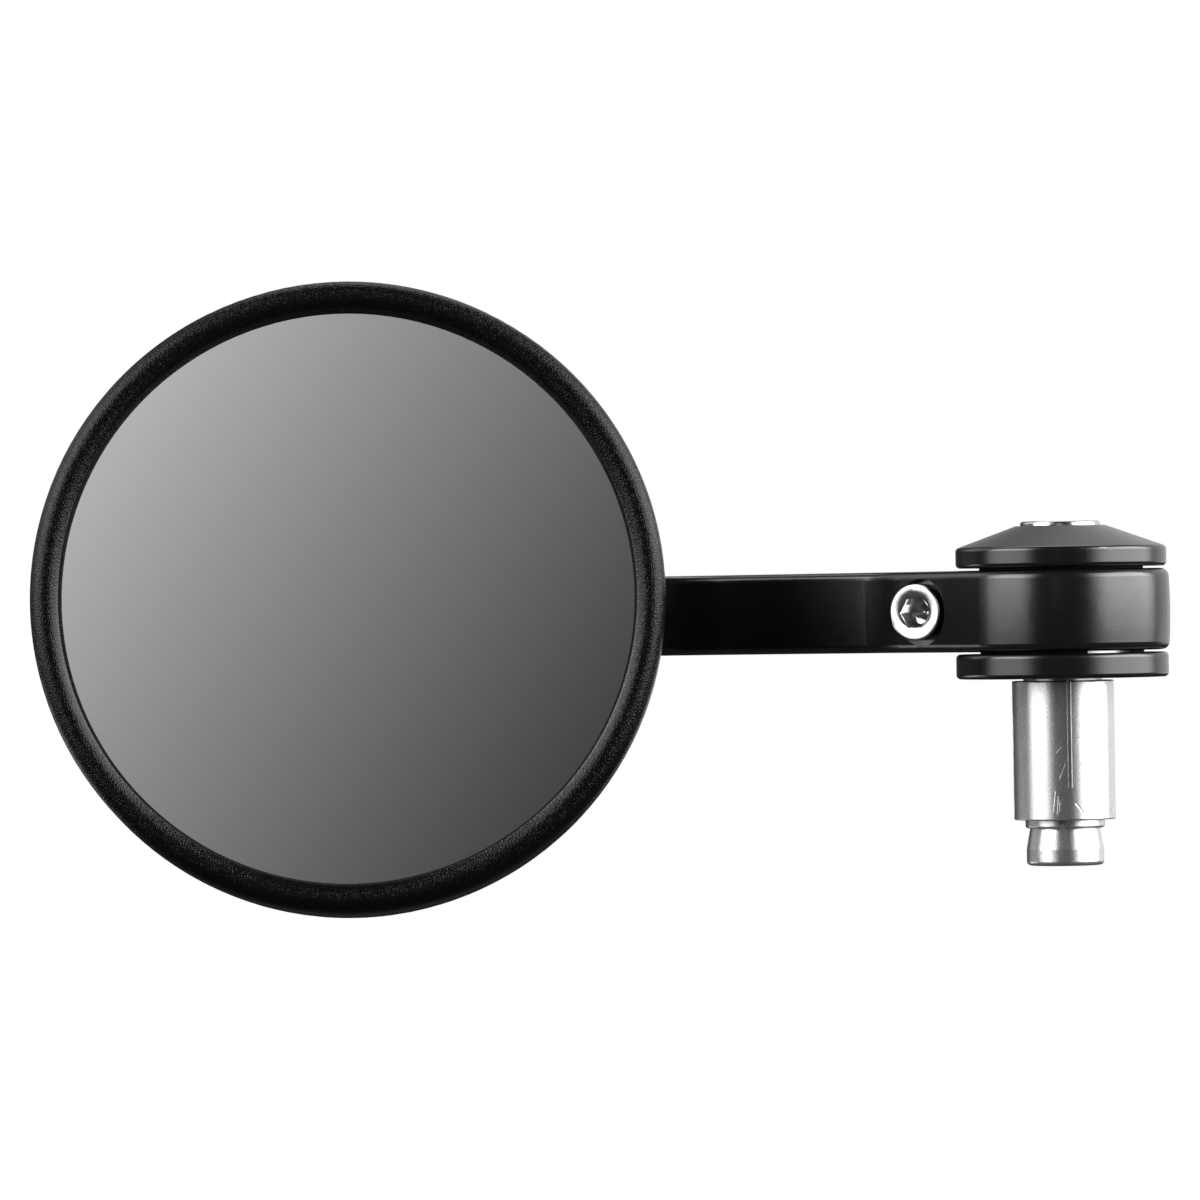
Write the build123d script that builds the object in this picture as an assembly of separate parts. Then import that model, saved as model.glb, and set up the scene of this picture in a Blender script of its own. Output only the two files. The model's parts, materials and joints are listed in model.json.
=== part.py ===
"""Round bar end mirror for a motorcycle, with its clamp arm and expanding handlebar insert.

Millimetres, +Z up along the hub, origin on the hub axis at the upper end of the insert's sleeve.
The handlebar comes up from below. The arm leaves the hub towards -X and +Y, and the glass faces -Y.
"""
from build123d import *
import os
from math import acos, atan2, cos, degrees, hypot, radians, sin, sqrt, tan

# Clearances
RUN = 0.05                  # radial, between a shaft and its hole
SEAT = 0.1                  # between pieces that seat on each other
SWIVEL = 0.15               # between the spheres of the ball joint

# Insert that goes into the bar
SLEEVE_R = 9.0              # fits the 18 mm bore of a thin-walled bar
SLEEVE_LENGTH = 24.6
SLEEVE_SLIT = 0.5           # width of the lengthwise cuts
SLEEVE_UNCUT = 5.8          # length left whole beyond each cut
SLEEVE_SLIT_TURN = 3.4      # degrees from the front
SLIT_BEVEL = 0.15           # on the outer edges of the sleeve's cuts
SLEEVE_GAP = 0.45           # between the sleeve and the flange
TUBE_R = 7.0                # fits the 14 mm bore of a thick-walled bar
TUBE_WALL = 1.9
TUBE_FOOT = 1.5             # how far the tube stands out below the sleeve
TUBE_SEAT = 1.8             # how deep the tube sits in the flange
TUBE_SLIT = 1.0
TUBE_SLIT_LENGTH = 20.0
TUBE_SLIT_TURN = -8.0
TUBE_SLITS = 4
SLEEVE_EDGE_R = 0.25        # rounding on the outer ends of the sleeve
TUBE_EDGE_R = 0.45          # rounding on the tube's mouth
WEDGE_INSET = 0.15          # foot of the wedge inside the tube's outer radius
WEDGE_TAPER = 10.2          # half angle of the cone, degrees
WEDGE_SHOULDER = 3.7        # from the tube's mouth down to the full radius
WEDGE_RIM = 2.9             # height of the plain foot below the cone
WEDGE_ENGAGED = 5.0         # length of cone inside the tube
WEDGE_EDGE_R = 0.8

# Hub
RING_R = 19.2               # ring of the arm, which the flange and the cap follow
RING_WALL = 4.7
RING_GAP = 0.4              # above and below the arm's ring
FLANGE_INSET = 0.4
FLANGE_T = 4.4
RELIEF_ROOM = 0.3           # shallow relief in the flange round the sleeve's end,
RELIEF_DEPTH = 0.3          # so that the flange meets the bar and not the sleeve
CAP_INSET = 0.55
CAP_SIDE = 3.5
CAP_CONE = 3.85
CAP_LAND = 0.75             # flat round the bolt head
TURNED_EDGE_R = 0.8         # rounding on the flange and the cap
BUSH_STEP = 3.5             # from the bush in to its spigots
SPIGOT_H = 1.0

# Bolt down the middle, M8
BOLT_R = 4.0
BOLT_CLEARANCE = 0.5
BOLT_HEAD_R = 7.1
BOLT_HEAD_H = 5.0
BOLT_PROUD = 0.8            # head above the cap
BOLT_EDGE_R = 0.5
BOLT_SOCKET = 6.0           # across the flats of the hexagon
BOLT_SOCKET_DEPTH = 3.5
BOLT_TIP_INSET = 0.8        # tip above the foot of the wedge
TIP_CHAMFER = 0.6           # at the end of each thread
SOCKET_BEVEL = 0.26         # countersink round the corners of a hexagon socket
PIT_INSET = 0.9             # drilled pit in the floor of a socket, inside its flats
PIT_POINT = 59.0            # half angle of the drill's point, degrees
HEX_BEVEL = 30.0            # degrees, on nuts and in sockets

# Clamp arm
ARM_SWEEP = 31.0            # degrees that the arm runs back from -X
ARM_H = 14.4
ARM_EDGE_R = 1.5
ARM_CROWN = 0.25            # bulge of the arm's sides between their edges
THROAT_OUT = 11.8           # from the ring to where its fairing meets the beam
THROAT_HALF = 8.5           # half thickness there
THROAT_BLEND_R = 25.0
BEAM_HALF = 6.5             # half thickness of the beam at the elbow
ELBOW_X = 74.0              # from the hub axis, along the arm
ELBOW_R = 28.0
HEAD_OFFSET = 126.1         # from the hub axis to the ball stud, along -X
SLOT_W = 1.8                # clamp slot through the ring
SLOT_OUT = 9.8              # from the ring to the end of the slot
BOSS_R = 10.0               # round boss that holds the ball stud
BOSS_LENGTH = 15.0
BOSS_EDGE_R = 1.0

# Pinch bolt, M6
PINCH_OUT = 2.6             # from the ring's radius to the bolt's axis, along the arm
PINCH_SEAT = 8.5            # bearing face, from the slot's middle
PINCH_R = 3.0
PINCH_CLEARANCE = 0.3
PINCH_LENGTH = 20.0
PINCH_HEAD_R = 5.0
PINCH_HEAD_H = 6.0
PINCH_SOCKET = 5.0
PINCH_SOCKET_DEPTH = 3.2
PINCH_RECESS_ROOM = 1.0     # round the head
PINCH_EDGE_R = 0.35

# Ball stud, M8
HEAD_PITCH = 5.4            # degrees that the stud and the head look up
BALL_R = 9.0
NECK_R = 4.0
STUD_R = 4.0
STUD_CLEARANCE = 0.2
STUD_HEX = 13.0
STUD_HEX_T = 4.0
BALL_STANDOFF = 18.5        # ball centre ahead of the boss
STUD_END = 2.0              # thread beyond the nut
WASHER_R = 8.0
WASHER_T = 1.6
NUT_T = 6.8

# Ball socket in the head
SEAT_T = 2.2
SEAT_FROM = 48.0            # degrees from the back of the axis
SEAT_TO = 86.0
CUP_FROM = 106.0
CUP_STEP = 0.5              # cup outside the socket's sphere
CUP_FRONT = 2.5             # wall in front of the ball
SOCKET_OPENING = 52.0       # half angle of the flared hole
SOCKET_CUTBACK = 0.6        # back of the housing ahead of the ball's back
SOCKET_WALL = 3.1
SPRING_T = 0.9
SPRING_RISE = 0.9
SPRING_BORE_R = 6.0
PLATE_T = 1.5
PLATE_BORE_R = 4.0
SCREWS = 3
SCREW_OUT = 7.5             # from the side of the cup to a screw's axis
SCREW_R = 1.5
SCREW_CLEARANCE = 0.3
SCREW_LENGTH = 8.0
SCREW_HEAD_R = 3.0
SCREW_HEAD_H = 1.8
POST_R = 4.2

# Mirror head, seen along its own axis
HEAD_R = 56.0
RIM_WIDTH = 5.4             # from the outside of the rim to its opening
LIP_HOLD = 1.6              # glass hidden under the lip
LIP_T = 1.1
BEAD_CREST_IN = 2.55        # crest of the bead inside the rim's outer edge
BEAD_INNER_DROP = 2.0
BEAD_OUTER_DROP = 2.8
BEZEL_WALL = 1.6
BEZEL_DEPTH = 13.6
GLASS_T = 2.0
GLASS_CURVE_R = 1200.0      # convex
GLASS_ROOM = 2.0            # between the glass and the screw heads
PAD_T = 2.4
PAD_WIDTH = 14.5
PAD_MARGIN = 1.5            # pad inside the edge of the glass
LEDGE_WIDTH = 6.0           # ledge under the pad
SHELL_WALL = 2.2
BOWL_DEPTH = 14.5
BOWL_FLAT_R = 18.0

# Radii round the hub
WEDGE_R = TUBE_R - WEDGE_INSET
TUBE_BORE_R = TUBE_R - TUBE_WALL
FLANGE_R = RING_R - FLANGE_INSET
CAP_R = RING_R - CAP_INSET
BUSH_R = RING_R - RING_WALL
SPIGOT_R = BUSH_R - BUSH_STEP
BOLT_HOLE_R = BOLT_R + BOLT_CLEARANCE
BOLT_RECESS_R = BOLT_HEAD_R + SWIVEL

# Heights up the hub
FLANGE_BOTTOM = SLEEVE_GAP
FLANGE_TOP = FLANGE_BOTTOM + FLANGE_T
RING_BOTTOM = FLANGE_TOP + RING_GAP
RING_TOP = RING_BOTTOM + ARM_H
ARM_Z = (RING_BOTTOM + RING_TOP) / 2
CAP_BOTTOM = RING_TOP + RING_GAP
CAP_CREASE = CAP_BOTTOM + CAP_SIDE
CAP_TOP = CAP_CREASE + CAP_CONE
BOLT_SEAT = CAP_TOP + BOLT_PROUD - BOLT_HEAD_H
TUBE_TOP = FLANGE_BOTTOM + TUBE_SEAT
TUBE_BOTTOM = -SLEEVE_LENGTH - TUBE_FOOT
WEDGE_FULL = TUBE_BOTTOM - WEDGE_SHOULDER
WEDGE_BOTTOM = WEDGE_FULL - WEDGE_RIM

# Directions and places along the arm
ARM_DIRECTION = Vector(-cos(radians(ARM_SWEEP)), sin(radians(ARM_SWEEP)), 0)
ARM_FRONT = Vector(-sin(radians(ARM_SWEEP)), -cos(radians(ARM_SWEEP)), 0)
THROAT_X = RING_R + THROAT_OUT
SLOT_END = RING_R + SLOT_OUT
PINCH_X = RING_R + PINCH_OUT
TAIL_LENGTH = HEAD_OFFSET - ELBOW_X * cos(radians(ARM_SWEEP))
BOSS_CENTRE = ARM_DIRECTION * ELBOW_X + Vector(-TAIL_LENGTH, 0, ARM_Z)
STUD_HOLE_R = STUD_R + STUD_CLEARANCE

# Place of the mirror head: its own Z runs backwards from the ball, along the stud
HEAD_TURN = (-90 - HEAD_PITCH, 0, 0)
HEAD_BACKWARDS = Vector(0, cos(radians(HEAD_PITCH)), -sin(radians(HEAD_PITCH)))
BALL_CENTRE = BOSS_CENTRE - HEAD_BACKWARDS * (BOSS_LENGTH / 2 + BALL_STANDOFF)
HEAD = Location(tuple(BALL_CENTRE), HEAD_TURN)

# Radii and heights in the mirror head, from the ball forwards to the crest of the rim
SOCKET_R = BALL_R + 2 * SWIVEL + SEAT_T
SOCKET_BACK = BALL_R - SOCKET_CUTBACK
CUP_R = SOCKET_R + CUP_STEP
CUP_FACE = -(BALL_R + SWIVEL + CUP_FRONT)
PLATE_BACK = CUP_FACE - SPRING_RISE - SPRING_T - SEAT
PLATE_FRONT = PLATE_BACK - PLATE_T
GLASS_SHOW_R = HEAD_R - RIM_WIDTH
GLASS_R = GLASS_SHOW_R + LIP_HOLD
GLASS_SAG = GLASS_CURVE_R - sqrt(GLASS_CURVE_R ** 2 - GLASS_SHOW_R ** 2)
GLASS_APEX = PLATE_FRONT - SCREW_HEAD_H - GLASS_ROOM - GLASS_T
LIP_BACK = GLASS_APEX + GLASS_SAG - SEAT
LIP_FRONT = LIP_BACK - LIP_T
CREST = LIP_FRONT - BEAD_INNER_DROP
BEZEL_BACK = CREST + BEZEL_DEPTH
BEZEL_BORE_R = HEAD_R - BEZEL_WALL
LEDGE = LIP_BACK + SEAT + GLASS_T + PAD_T
LEDGE_R = GLASS_R - LEDGE_WIDTH
PAD_R = GLASS_R - PAD_MARGIN


def turned(*corners):
    """Turn a closed outline about Z. A corner is (radius, height) or (radius, height, rounding)."""
    points = [corner[:2] for corner in corners]
    roundings = [corner[2] if len(corner) > 2 else 0 for corner in corners]
    outline = FilletPolyline(points, radius=roundings, close=True)
    return revolve(Plane.XZ * make_face(outline), Axis.Z)


def turned_curves(*curves):
    """Turn a closed outline of lines and arcs about Z, drawn with x as radius and y as height."""
    return revolve(Plane.XZ * make_face(curves), Axis.Z)


def polar(radius, angle):
    """Point at an angle from the back of the axis, as (radius, height) for turning."""
    return radius * sin(radians(angle)), radius * cos(radians(angle))


def sphere_arc(radius, start, end):
    """Arc about the origin between two angles from the back of the axis."""
    return ThreePointArc(polar(radius, start), polar(radius, (start + end) / 2), polar(radius, end))


def rod(radius, bottom, top):
    """Round bar along Z between two heights."""
    bar = Cylinder(radius, top - bottom, align=(Align.CENTER, Align.CENTER, Align.MIN))
    return Pos(0, 0, bottom) * bar


def hexagon(flats, bottom, top):
    """Hexagonal bar along Z between two heights."""
    return Pos(0, 0, bottom) * extrude(RegularPolygon(flats / 2, 6, major_radius=False), top - bottom)


def slits(count, turn, width, bottom, top, outer_r, bevel=0):
    """Lengthwise cuts through a tube, spread evenly round Z. A turn of 0 is at the front."""
    blade = Box(2 * outer_r, width, top - bottom, align=(Align.MIN, Align.CENTER, Align.MIN))
    if bevel:
        blade += Pos(outer_r, 0, 0) * extrude(RegularPolygon(width / 2 + bevel, 4), top - bottom)
    return [Rot(0, 0, turn - 90 + 360 * i / count) * Pos(0, 0, bottom) * blade for i in range(count)]


def wedge_radius(height):
    """Radius of the wedge's cone at a height."""
    return WEDGE_R - (height - WEDGE_FULL) * tan(radians(WEDGE_TAPER))


def socket_head_bolt(radius, length, head_r, head_h, socket, depth, edge_r):
    """Bolt along Z with its bearing face at 0, the head above it and a hexagon socket in the head."""
    head = turned((0, 0), (head_r, 0), (head_r, head_h, edge_r), (0, head_h))
    shank = rod(radius, -length, 0)
    shank = chamfer(shank.edges().group_by(Axis.Z)[0], TIP_CHAMFER)
    mouth_r = socket / sqrt(3) + SOCKET_BEVEL
    mouth_depth = mouth_r * tan(radians(HEX_BEVEL))
    countersink = turned((0, head_h), (mouth_r, head_h), (0, head_h - mouth_depth))
    floor = head_h - depth
    pit_r = socket / 2 - PIT_INSET
    pit = turned((0, floor), (pit_r, floor), (0, floor - pit_r / tan(radians(PIT_POINT))))
    return head + shank - hexagon(socket, floor, head_h) - countersink - pit


def lower_flange():
    """Disc that meets the end of the bar, with a seat for the tube below and for the bush above."""
    spigot_seat = FLANGE_TOP - SPIGOT_H - SEAT
    relief_r = SLEEVE_R + RELIEF_ROOM
    relief_top = FLANGE_BOTTOM + RELIEF_DEPTH
    return turned((BOLT_HOLE_R, TUBE_TOP), (TUBE_R + RUN, TUBE_TOP), (TUBE_R + RUN, relief_top),
                  (relief_r, relief_top), (relief_r, FLANGE_BOTTOM),
                  (FLANGE_R, FLANGE_BOTTOM, TURNED_EDGE_R), (FLANGE_R, FLANGE_TOP, TURNED_EDGE_R),
                  (SPIGOT_R + RUN, FLANGE_TOP), (SPIGOT_R + RUN, spigot_seat),
                  (BOLT_HOLE_R, spigot_seat))


def pivot_bush():
    """Bush that the arm's ring turns on, with a spigot at each end."""
    return turned((BOLT_HOLE_R, FLANGE_TOP - SPIGOT_H), (SPIGOT_R, FLANGE_TOP - SPIGOT_H),
                  (SPIGOT_R, FLANGE_TOP), (BUSH_R, FLANGE_TOP), (BUSH_R, CAP_BOTTOM),
                  (SPIGOT_R, CAP_BOTTOM), (SPIGOT_R, CAP_BOTTOM + SPIGOT_H),
                  (BOLT_HOLE_R, CAP_BOTTOM + SPIGOT_H))


def end_cap():
    """Coned cap with a recess for the bolt's head."""
    spigot_seat = CAP_BOTTOM + SPIGOT_H + SEAT
    return turned((BOLT_HOLE_R, spigot_seat), (SPIGOT_R + RUN, spigot_seat), (SPIGOT_R + RUN, CAP_BOTTOM),
                  (CAP_R, CAP_BOTTOM, TURNED_EDGE_R), (CAP_R, CAP_CREASE, TURNED_EDGE_R),
                  (BOLT_RECESS_R + CAP_LAND, CAP_TOP), (BOLT_RECESS_R, CAP_TOP),
                  (BOLT_RECESS_R, BOLT_SEAT - RUN), (BOLT_HOLE_R, BOLT_SEAT - RUN))


def through_bolt():
    """Long bolt that draws the wedge up into the tube."""
    length = BOLT_SEAT - WEDGE_BOTTOM - BOLT_TIP_INSET
    bolt = socket_head_bolt(BOLT_R, length, BOLT_HEAD_R, BOLT_HEAD_H, BOLT_SOCKET, BOLT_SOCKET_DEPTH,
                            BOLT_EDGE_R)
    return Pos(0, 0, BOLT_SEAT) * bolt


def expander_tube():
    """Slit tube with a coned mouth that the wedge spreads."""
    mouth_r = wedge_radius(TUBE_BOTTOM) + SEAT
    taper_top = TUBE_BOTTOM + (mouth_r - TUBE_BORE_R) / tan(radians(WEDGE_TAPER))
    tube = turned((TUBE_BORE_R, TUBE_TOP), (TUBE_BORE_R, taper_top), (mouth_r, TUBE_BOTTOM),
                  (TUBE_R, TUBE_BOTTOM, TUBE_EDGE_R), (TUBE_R, TUBE_TOP))
    return tube - slits(TUBE_SLITS, TUBE_SLIT_TURN, TUBE_SLIT, TUBE_BOTTOM,
                        TUBE_BOTTOM + TUBE_SLIT_LENGTH, TUBE_R)


def adapter_sleeve():
    """Sleeve over the tube, cut from both ends in turn so that it opens evenly."""
    sleeve = turned((TUBE_R + RUN, 0), (TUBE_R + RUN, -SLEEVE_LENGTH),
                    (SLEEVE_R, -SLEEVE_LENGTH, SLEEVE_EDGE_R), (SLEEVE_R, 0, SLEEVE_EDGE_R))
    from_top = slits(2, SLEEVE_SLIT_TURN, SLEEVE_SLIT, SLEEVE_UNCUT - SLEEVE_LENGTH, 0,
                     SLEEVE_R, SLIT_BEVEL)
    from_foot = slits(2, SLEEVE_SLIT_TURN + 90, SLEEVE_SLIT, -SLEEVE_LENGTH, -SLEEVE_UNCUT,
                      SLEEVE_R, SLIT_BEVEL)
    return sleeve - from_top - from_foot


def wedge_nut():
    """Coned nut at the foot of the bolt."""
    top = TUBE_BOTTOM + WEDGE_ENGAGED
    return turned((BOLT_R + RUN, top), (wedge_radius(top), top), (WEDGE_R, WEDGE_FULL),
                  (WEDGE_R, WEDGE_BOTTOM, WEDGE_EDGE_R), (BOLT_R + RUN, WEDGE_BOTTOM))


def arm_plan():
    """Arm seen from above, with the ring's centre at the origin and the arm along +X to its elbow."""
    touch = degrees(atan2(THROAT_HALF, THROAT_X) + acos(RING_R / hypot(THROAT_X, THROAT_HALF)))
    touch_x = RING_R * cos(radians(touch))
    touch_y = RING_R * sin(radians(touch))
    mitre = BEAM_HALF * tan(radians(ARM_SWEEP / 2))
    tail = Vector(cos(radians(ARM_SWEEP)), sin(radians(ARM_SWEEP)))
    across = Vector(-tail.Y, tail.X) * BEAM_HALF
    end = Vector(ELBOW_X, 0) + tail * TAIL_LENGTH
    corners = [(touch_x, -touch_y), (THROAT_X, -THROAT_HALF), (ELBOW_X + mitre, -BEAM_HALF),
               end - across, end + across, (ELBOW_X - mitre, BEAM_HALF),
               (THROAT_X, THROAT_HALF), (touch_x, touch_y)]
    bends = [THROAT_BLEND_R, ELBOW_R + BEAM_HALF, 0, 0, ELBOW_R - BEAM_HALF, THROAT_BLEND_R]
    ring = CenterArc((0, 0), RING_R, touch, 360 - 2 * touch)
    return make_face([FilletPolyline(corners, radius=bends), ring])


def pinch_place():
    """Place of the pinch bolt, with its bearing face at height 0 and its head towards the front."""
    origin = ARM_DIRECTION * PINCH_X + ARM_FRONT * PINCH_SEAT + Vector(0, 0, ARM_Z)
    return Plane(origin, x_dir=ARM_DIRECTION, z_dir=ARM_FRONT)


def clamp_arm():
    """Cast arm with crowned sides: split ring at the hub, beam, elbow, and a boss across the tail."""
    turn = Rot(0, 0, 180 - ARM_SWEEP)
    widest = arm_plan()
    edge = offset(widest, amount=-ARM_CROWN, kind=Kind.INTERSECTION)
    levels = ((edge, RING_BOTTOM), (widest, ARM_Z), (edge, RING_TOP))
    arm = loft([Pos(0, 0, height) * turn * plan for plan, height in levels])
    rims = arm.edges().group_by(Axis.Z)
    arm = fillet(rims[0] + rims[-1], ARM_EDGE_R)
    boss = Cylinder(BOSS_R, BOSS_LENGTH)
    boss = fillet(boss.edges().filter_by(GeomType.CIRCLE), BOSS_EDGE_R)
    boss_place = Location(tuple(BOSS_CENTRE), HEAD_TURN)
    arm += boss_place * boss
    arm -= boss_place * Cylinder(STUD_HOLE_R, 2 * BOSS_LENGTH)
    arm -= rod(BUSH_R + RUN, RING_BOTTOM, RING_TOP)
    slot = Box(SLOT_END, SLOT_W, ARM_H, align=(Align.MIN, Align.CENTER, Align.MIN))
    slot += Pos(SLOT_END, 0) * rod(SLOT_W, 0, ARM_H)
    arm -= Pos(0, 0, RING_BOTTOM) * turn * slot
    pinch = pinch_place()
    arm -= pinch * rod(PINCH_HEAD_R + PINCH_RECESS_ROOM, 0, RING_R)
    arm -= pinch * rod(PINCH_R + PINCH_CLEARANCE, -PINCH_SEAT, RING_R)
    arm -= pinch * rod(PINCH_R + RUN, -PINCH_SEAT - RING_R, 0)
    return arm


def pinch_bolt():
    """Socket head bolt that closes the split ring."""
    bolt = socket_head_bolt(PINCH_R, PINCH_LENGTH, PINCH_HEAD_R, PINCH_HEAD_H, PINCH_SOCKET,
                            PINCH_SOCKET_DEPTH, PINCH_EDGE_R)
    return pinch_place() * bolt


def ball_stud():
    """Ball on a tapered neck, with a spanner hexagon and a threaded shank through the boss."""
    neck_angle = degrees(atan2(NECK_R, sqrt(BALL_R ** 2 - NECK_R ** 2)))
    hex_front = BALL_STANDOFF - STUD_HEX_T
    shank_end = BALL_STANDOFF + BOSS_LENGTH + WASHER_T + NUT_T + STUD_END
    neck = Polyline(polar(BALL_R, neck_angle), (NECK_R, hex_front), (0, hex_front), (0, -BALL_R))
    ball = turned_curves(sphere_arc(BALL_R, 180, neck_angle), neck)
    shank = rod(STUD_R, BALL_STANDOFF, shank_end)
    shank = chamfer(shank.edges().group_by(Axis.Z)[-1], TIP_CHAMFER)
    return HEAD * (ball + hexagon(STUD_HEX, hex_front, BALL_STANDOFF) + shank)


def stud_washer():
    """Plain washer behind the boss."""
    front = BALL_STANDOFF + BOSS_LENGTH
    back = front + WASHER_T
    return HEAD * (rod(WASHER_R, front, back) - rod(STUD_HOLE_R, front, back))


def stud_nut():
    """Hexagon nut with both faces bevelled."""
    front = BALL_STANDOFF + BOSS_LENGTH + WASHER_T
    back = front + NUT_T
    corner_r = STUD_HEX / sqrt(3)
    bevel = (corner_r - STUD_HEX / 2) * tan(radians(HEX_BEVEL))
    blank = turned((STUD_R + RUN, front), (STUD_HEX / 2, front), (corner_r, front + bevel),
                   (corner_r, back - bevel), (STUD_HEX / 2, back), (STUD_R + RUN, back))
    return HEAD * (blank & hexagon(STUD_HEX, front, back))


def rear_ball_seat():
    """Liner between the ball and the housing, behind the ball's middle."""
    inner = BALL_R + SWIVEL
    outer = inner + SEAT_T
    rim = Line(polar(inner, SEAT_TO), polar(outer, SEAT_TO))
    foot = Line(polar(outer, SEAT_FROM), polar(inner, SEAT_FROM))
    return HEAD * turned_curves(sphere_arc(inner, SEAT_FROM, SEAT_TO), rim,
                                sphere_arc(outer, SEAT_TO, SEAT_FROM), foot)


def front_ball_cup():
    """Cup in front of the ball, pushed back by the spring."""
    inner = BALL_R + SWIVEL
    mouth = polar(inner, CUP_FROM)
    wall = Polyline((0, -inner), (0, CUP_FACE), (CUP_R, CUP_FACE), (CUP_R, mouth[1]), mouth)
    return HEAD * turned_curves(sphere_arc(inner, CUP_FROM, 180), wall)


def disc_spring():
    """Coned spring washer between the cup and the plate."""
    outer_r = CUP_R - SPRING_T
    back = CUP_FACE - RUN
    front = PLATE_BACK + RUN
    return HEAD * turned((outer_r, back), (outer_r, back - SPRING_T), (SPRING_BORE_R, front),
                         (SPRING_BORE_R, front + SPRING_T))


def screw_places():
    """Axes of the screws round the socket, the first one at the side of the head."""
    spot = Pos(CUP_R + SCREW_OUT, 0, 0)
    return [Rot(0, 0, 90 + 360 * i / SCREWS) * spot for i in range(SCREWS)]


def socket_plate():
    """Plate with a lobe for each screw, which holds the spring and the cup on the ball."""
    lobes = Sketch() + [place * Circle(POST_R + PLATE_T) for place in screw_places()] + Circle(CUP_R)
    plate = Pos(0, 0, PLATE_FRONT) * extrude(make_hull(lobes.edges()), PLATE_T)
    plate -= rod(PLATE_BORE_R, PLATE_FRONT, PLATE_BACK)
    hole = rod(SCREW_R + SCREW_CLEARANCE, PLATE_FRONT, PLATE_BACK)
    return HEAD * (plate - [place * hole for place in screw_places()])


def plate_screws():
    """Round head screws that hold the plate to the posts."""
    head_front = PLATE_FRONT - SCREW_HEAD_H
    head = turned((0, PLATE_FRONT), (SCREW_HEAD_R, PLATE_FRONT),
                  (SCREW_HEAD_R, head_front, SCREW_HEAD_H / 2), (0, head_front))
    screw = head + rod(SCREW_R, PLATE_FRONT, PLATE_FRONT + SCREW_LENGTH)
    return Compound([HEAD * place * screw for place in screw_places()])


def glass_arc(depth, start_r, end_r):
    """Curve of the glass at a depth from its front, between two radii."""
    curve_r = GLASS_CURVE_R - depth
    centre = GLASS_APEX + GLASS_CURVE_R
    radii = (start_r, (start_r + end_r) / 2, end_r)
    return ThreePointArc(*[(r, centre - sqrt(curve_r ** 2 - r ** 2)) for r in radii])


def mirror_glass():
    """Convex disc of even thickness."""
    front = glass_arc(0, 0, GLASS_R)
    back = glass_arc(GLASS_T, GLASS_R, 0)
    return HEAD * turned_curves(front, Line(front @ 1, back @ 0), back, Line(back @ 1, front @ 0))


def foam_pad():
    """Ring that presses the glass against the lip."""
    front = glass_arc(GLASS_T + RUN, PAD_R - PAD_WIDTH, PAD_R)
    back = Line((PAD_R, LEDGE), (PAD_R - PAD_WIDTH, LEDGE))
    return HEAD * turned_curves(front, Line(front @ 1, back @ 0), back, Line(back @ 1, front @ 0))


def rim_bezel():
    """Ring with a rounded bead round the glass and a wall that slips over the housing."""
    shoulder = CREST + BEAD_OUTER_DROP
    bead = ThreePointArc((GLASS_SHOW_R, LIP_FRONT), (HEAD_R - BEAD_CREST_IN, CREST), (HEAD_R, shoulder))
    wall = Polyline((HEAD_R, shoulder), (HEAD_R, BEZEL_BACK), (BEZEL_BORE_R, BEZEL_BACK),
                    (BEZEL_BORE_R, LIP_BACK), (GLASS_SHOW_R, LIP_BACK), (GLASS_SHOW_R, LIP_FRONT))
    return HEAD * turned_curves(bead, wall)


def mirror_housing():
    """Moulded bowl with a ledge for the pad, the ball socket at its back and posts for the screws."""
    edge = BEZEL_BACK + SEAT
    floor = edge + BOWL_DEPTH - SHELL_WALL
    skirt_r = BEZEL_BORE_R - RUN
    pocket_r = GLASS_R + SWIVEL
    centre = (BOWL_FLAT_R, edge)
    bowl = EllipticalCenterArc(centre, HEAD_R - BOWL_FLAT_R, BOWL_DEPTH, 0, arc_size=90)
    inside = EllipticalCenterArc(centre, GLASS_R - BOWL_FLAT_R, BOWL_DEPTH - SHELL_WALL, 0, arc_size=90)
    cup_bore = CUP_R + RUN
    socket_outer = cup_bore + SOCKET_WALL
    flare_r = SOCKET_BACK * tan(radians(SOCKET_OPENING))
    back = Polyline(bowl @ 1, (flare_r + SHELL_WALL, SOCKET_BACK), (flare_r, SOCKET_BACK),
                    polar(SOCKET_R, SOCKET_OPENING))
    sphere = sphere_arc(SOCKET_R, SOCKET_OPENING, 90)
    socket = Polyline((SOCKET_R, 0), (cup_bore, 0), (cup_bore, PLATE_BACK), (socket_outer, PLATE_BACK),
                      (socket_outer, floor), inside @ 1)
    ledge = Polyline(inside @ 0, (GLASS_R, LEDGE + SHELL_WALL), (LEDGE_R, LEDGE + SHELL_WALL),
                     (LEDGE_R, LEDGE), (pocket_r, LEDGE), (pocket_r, LIP_BACK + SEAT),
                     (skirt_r, LIP_BACK + SEAT), (skirt_r, edge), bowl @ 0)
    shell = turned_curves(bowl, back, sphere, socket, inside, ledge)
    post = rod(POST_R, PLATE_BACK, floor)
    pilot = rod(SCREW_R + RUN, PLATE_BACK, PLATE_FRONT + SCREW_LENGTH + SEAT)
    for place in screw_places():
        shell += place * post
        shell -= place * pilot
    return HEAD * shell


PIECES = [lower_flange, pivot_bush, end_cap, through_bolt, expander_tube, adapter_sleeve, wedge_nut,
          clamp_arm, pinch_bolt, ball_stud, stud_washer, stud_nut, rear_ball_seat, front_ball_cup,
          disc_spring, socket_plate, plate_screws, mirror_glass, foam_pad, rim_bezel, mirror_housing]

os.makedirs("parts", exist_ok=True)
for piece in PIECES:
    export_step(piece(), f"parts/{piece.__name__}.step")
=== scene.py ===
"""Studio picture of a motorcycle bar end mirror. Metres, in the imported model's own frame."""

import json
from math import asin, cos, pi, radians, sin, sqrt, tan

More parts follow.
